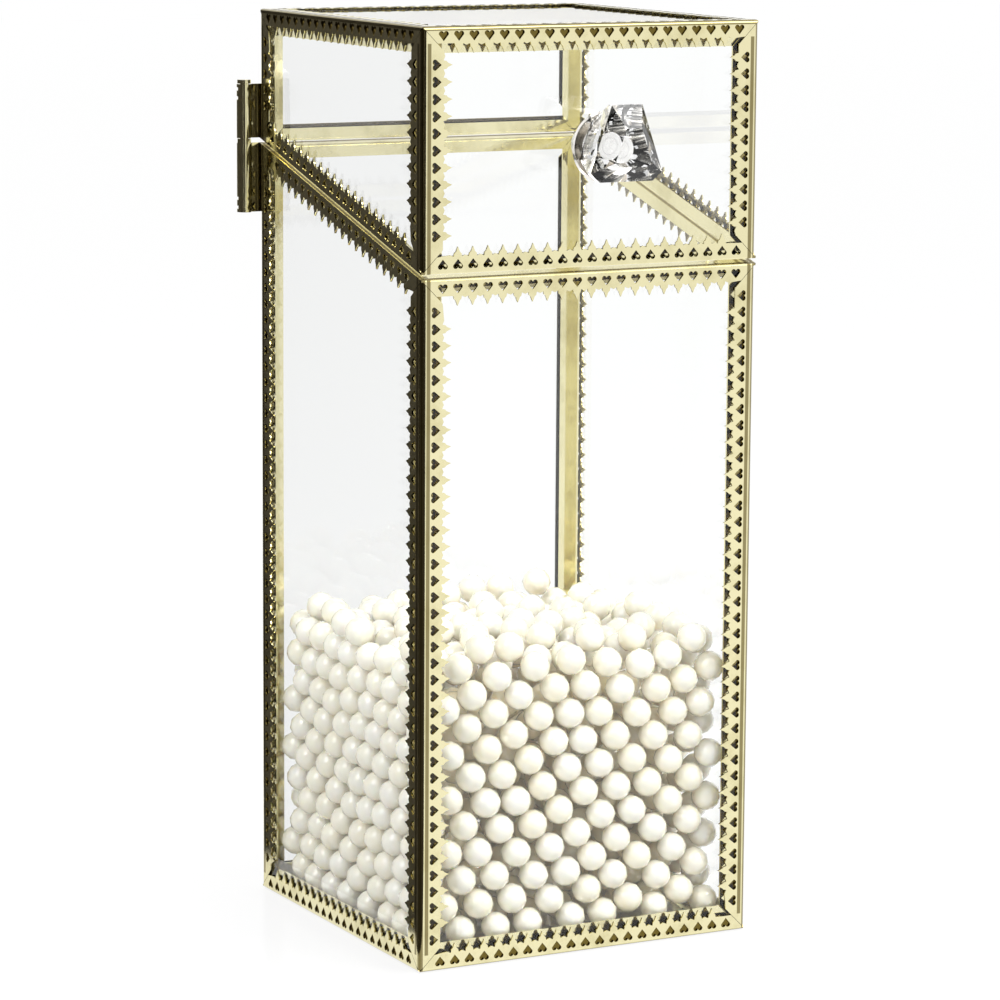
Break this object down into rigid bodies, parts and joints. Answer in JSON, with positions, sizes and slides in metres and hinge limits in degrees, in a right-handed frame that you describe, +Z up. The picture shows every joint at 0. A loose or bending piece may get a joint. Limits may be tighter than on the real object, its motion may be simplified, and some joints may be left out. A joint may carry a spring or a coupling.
{
  "type": "makeup brush holder",
  "caption": "Tall square glass brush holder in a lace-edged brass frame, with a bed of pearls and a glass lid that swivels sideways on a corner hinge, with a crystal knob.",
  "frame": {"origin": "centre of the square footprint, on the underside, where the box stands on a table", "axes": "+Z up, -Y out of the front face that carries the knob, -X out of the left face, beside the hinge"},
  "size_m": [0.0948, 0.1097, 0.221],
  "materials": {
    "brass": "polished pale gold",
    "clear_glass": "clear, polished",
    "mirror_glass": "silvered",
    "felt": "felt",
    "chrome_dish": "polished",
    "crystal": "cut and polished",
    "plated_steel": "plated",
    "nylon": "moulded",
    "pearl": "pearl lustre"
  },
  "bodies": {
    "case": {"base_felt": "felt", "base_mirror": "mirror_glass", "body_back_pane": "clear_glass", "body_base_trim_back": "brass", "body_base_trim_front": "brass", "body_base_trim_left": "brass", "body_base_trim_right": "brass", "body_front_pane": "clear_glass", "body_left_pane": "clear_glass", "body_post_back_left": "brass", "body_post_back_right": "brass", "body_post_front_left": "brass", "body_post_front_right": "brass", "body_right_pane": "clear_glass", "body_rim_back": "brass", "body_rim_front": "brass", "body_rim_left": "brass", "body_rim_right": "brass", "hinge_body_leaf": "brass", "hinge_pin": "brass", "hinge_washer": "brass", "pearl_fill": "pearl", "pearls": "pearl"},
    "lid": {"hinge_lid_leaf": "brass", "knob_backplate": "chrome_dish", "knob_crystal": "crystal", "knob_insert": "brass", "knob_screw": "plated_steel", "knob_washer": "nylon", "lid_back_pane": "clear_glass", "lid_front_pane": "clear_glass", "lid_left_pane": "clear_glass", "lid_post_back_left": "brass", "lid_post_back_right": "brass", "lid_post_front_left": "brass", "lid_post_front_right": "brass", "lid_right_pane": "clear_glass", "lid_rim_back": "brass", "lid_rim_front": "brass", "lid_rim_left": "brass", "lid_rim_right": "brass", "lid_top_pane": "clear_glass", "lid_top_trim_back": "brass", "lid_top_trim_front": "brass", "lid_top_trim_left": "brass", "lid_top_trim_right": "brass"}
  },
  "joints": [
    {"name": "lid_swivel", "type": "hinge", "parent": "case", "child": "lid", "pos_m": [-0.0484, 0.0449, 0.1889], "axis": [0, 0, -1], "range_deg": [0, 180]}
  ]
}
